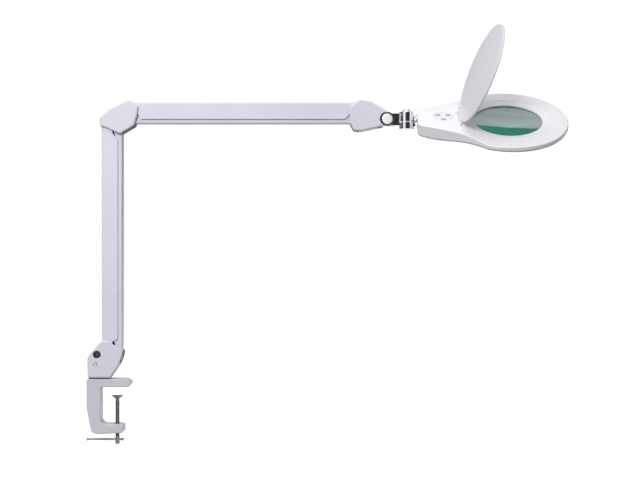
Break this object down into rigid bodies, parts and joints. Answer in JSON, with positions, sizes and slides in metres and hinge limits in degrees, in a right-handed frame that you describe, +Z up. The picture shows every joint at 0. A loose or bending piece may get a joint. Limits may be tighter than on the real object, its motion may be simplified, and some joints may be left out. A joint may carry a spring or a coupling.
{
  "type": "magnifying desk lamp",
  "caption": "Clamp-on magnifying work lamp with two parallel-link arms, a chrome tilt and swivel joint, and a ring-shaped lit lens head with a hinged lid.",
  "frame": {"origin": "underside of the clamp's upper jaw, where it rests on the desk top, on the clamp screw's axis", "axes": "+Z up out of the desk, +X along the upper arm towards the head, +Y away from the side that carries the tilt knob"},
  "size_m": [0.8905, 0.2388, 0.7694],
  "materials": {
    "clamp_paint": "smooth satin paint, light lavender grey",
    "white_paint": "satin off-white paint",
    "gloss_white": "glossy white moulded plastic",
    "lid_plastic": "light grey moulded plastic",
    "cast_metal": "rough cast metal",
    "chrome": "polished chrome",
    "steel": "bright zinc-plated steel",
    "spring_steel": "oiled spring steel",
    "aluminium": "spun bright disc",
    "brass": "plated contact",
    "black_plastic": "black moulded plastic",
    "grey_plastic": "grey moulded plastic",
    "black_rubber": "black rubber",
    "nylon": "natural nylon",
    "glass": "clear optical glass, green at the edge",
    "frosted_plastic": "frosted translucent plastic",
    "circuit_board": "green solder mask"
  },
  "bodies": {
    "base": {"clamp_frame": "clamp_paint", "swivel_bush": "nylon"},
    "clamp_pad": {"clamp_pad": "steel"},
    "clamp_screw": {"clamp_screw": "steel"},
    "tommy_bar": {"tommy_bar": "steel"},
    "swivel": {"swivel_pin": "steel", "base_bracket": "cast_metal", "base_cover_front": "white_paint", "base_cover_rear": "white_paint", "power_inlet": "black_plastic", "inlet_pin": "brass", "base_cover_screw": "steel", "lower_base_pivot": "steel", "lower_base_bar_pivot": "steel"},
    "lower_channel": {"lower_channel": "white_paint", "lower_spring": "spring_steel"},
    "lower_bar": {"lower_bar": "white_paint"},
    "elbow": {"elbow_bracket": "cast_metal", "elbow_cover_front": "white_paint", "elbow_cover_rear": "white_paint", "elbow_cover_screw": "steel", "lower_elbow_pivot": "steel", "lower_elbow_bar_pivot": "steel", "upper_elbow_pivot": "steel", "upper_elbow_bar_pivot": "steel"},
    "upper_channel": {"upper_channel": "white_paint", "upper_spring": "spring_steel"},
    "upper_bar": {"upper_bar": "white_paint"},
    "head_bracket": {"head_bracket": "cast_metal", "neck_cover_front": "white_paint", "neck_cover_rear": "white_paint", "neck_cover_screw": "steel", "upper_head_pivot": "steel", "upper_head_bar_pivot": "steel"},
    "tilt_link": {"tilt_link": "chrome", "tilt_nut": "steel", "swivel_bolt": "steel", "swivel_dome_nut": "chrome"},
    "tilt_knob": {"tilt_knob": "black_plastic", "tilt_knob_cap": "aluminium", "tilt_stud": "steel"},
    "swivel_block": {"swivel_block": "chrome", "roll_retainer": "steel"},
    "head": {"head_upper_shell": "gloss_white", "head_lower_shell": "gloss_white", "lens": "glass", "lens_gasket": "black_rubber", "lens_retainer": "gloss_white", "led_board": "circuit_board", "light_diffuser": "frosted_plastic", "control_board": "circuit_board", "keypad_panel": "gloss_white", "indicator_light": "black_plastic", "head_screw_near": "steel", "head_screw_far": "steel", "lid_hinge_pin": "steel"},
    "button_power": {"button_power": "grey_plastic"},
    "button_brighter": {"button_brighter": "grey_plastic"},
    "button_dimmer": {"button_dimmer": "grey_plastic"},
    "lid": {"lid": "lid_plastic"}
  },
  "joints": [
    {"name": "screw_travel", "type": "slide", "parent": "base", "child": "clamp_pad", "axis": [0, 0, 1], "range_m": [-0.045, 0.008]},
    {"name": "screw_turn", "type": "hinge", "parent": "clamp_pad", "child": "clamp_screw", "pos_m": [0, 0, -0.06], "axis": [0, 0, 1], "range_deg": [-12950, 2300]},
    {"name": "tommy_slide", "type": "slide", "parent": "clamp_screw", "child": "tommy_bar", "axis": [1, 0, 0], "range_m": [-0.004, 0.049]},
    {"name": "base_swivel", "type": "hinge", "parent": "base", "child": "swivel", "pos_m": [-0.042, 0, 0.0149], "axis": [0, 0, 1], "continuous": true},
    {"name": "lower_arm_tilt", "type": "hinge", "parent": "swivel", "child": "lower_channel", "pos_m": [-0.0144, 0, 0.0646], "axis": [0, 1, 0], "range_deg": [-10, 60]},
    {"name": "lower_bar_tilt", "type": "hinge", "parent": "swivel", "child": "lower_bar", "pos_m": [0.0039, 0, 0.0535], "axis": [0, 1, 0], "range_deg": [-12, 62]},
    {"name": "elbow_level", "type": "hinge", "parent": "lower_channel", "child": "elbow", "pos_m": [-0.0144, 0, 0.4896], "axis": [0, 1, 0], "range_deg": [-62, 12]},
    {"name": "upper_arm_tilt", "type": "hinge", "parent": "elbow", "child": "upper_channel", "pos_m": [0.027, 0, 0.5117], "axis": [0, 1, 0], "range_deg": [-45, 45]},
    {"name": "upper_bar_tilt", "type": "hinge", "parent": "elbow", "child": "upper_bar", "pos_m": [0.025, 0, 0.4916], "axis": [0, 1, 0], "range_deg": [-47, 47]},
    {"name": "head_level", "type": "hinge", "parent": "upper_channel", "child": "head_bracket", "pos_m": [0.452, 0, 0.5117], "axis": [0, 1, 0], "range_deg": [-47, 47]},
    {"name": "head_tilt", "type": "hinge", "parent": "head_bracket", "child": "tilt_link", "pos_m": [0.4986, 0, 0.4933], "axis": [0, 1, 0], "range_deg": [-35, 60]},
    {"name": "tilt_knob_turn", "type": "hinge", "parent": "tilt_link", "child": "tilt_knob", "pos_m": [0.4986, 0, 0.4933], "axis": [0, 1, 0], "range_deg": [-180, 180]},
    {"name": "head_swivel", "type": "hinge", "parent": "tilt_link", "child": "swivel_block", "pos_m": [0.535, 0, 0.489], "axis": [0, 0, 1], "range_deg": [-70, 70]},
    {"name": "head_roll", "type": "hinge", "parent": "swivel_block", "child": "head", "pos_m": [0.5541, 0, 0.49], "axis": [1, 0, 0], "range_deg": [-120, 60]},
    {"name": "lid_hinge", "type": "hinge", "parent": "head", "child": "lid", "pos_m": [0.6335, -0.0044, 0.4975], "axis": [0, 0.8625, 0.506], "range_deg": [-20, 68.7]},
    {"name": "button_power_press", "type": "slide", "parent": "head", "child": "button_power", "axis": [0, 0.506, -0.8625], "range_m": [0, 0.0008], "stiffness_N_per_m": 300, "springref_m": -0.001},
    {"name": "button_brighter_press", "type": "slide", "parent": "head", "child": "button_brighter", "axis": [0, 0.506, -0.8625], "range_m": [0, 0.0008], "stiffness_N_per_m": 300, "springref_m": -0.001},
    {"name": "button_dimmer_press", "type": "slide", "parent": "head", "child": "button_dimmer", "axis": [0, 0.506, -0.8625], "range_m": [0, 0.0008], "stiffness_N_per_m": 300, "springref_m": -0.001}
  ],
  "couplings": [
    {"joint": "screw_travel", "follows": "screw_turn", "m_per_rad": 0.00019894},
    {"joint": "lower_bar_tilt", "follows": "lower_arm_tilt", "ratio": 1},
    {"joint": "elbow_level", "follows": "lower_arm_tilt", "ratio": -1},
    {"joint": "upper_bar_tilt", "follows": "upper_arm_tilt", "ratio": 1},
    {"joint": "head_level", "follows": "upper_arm_tilt", "ratio": -1}
  ]
}
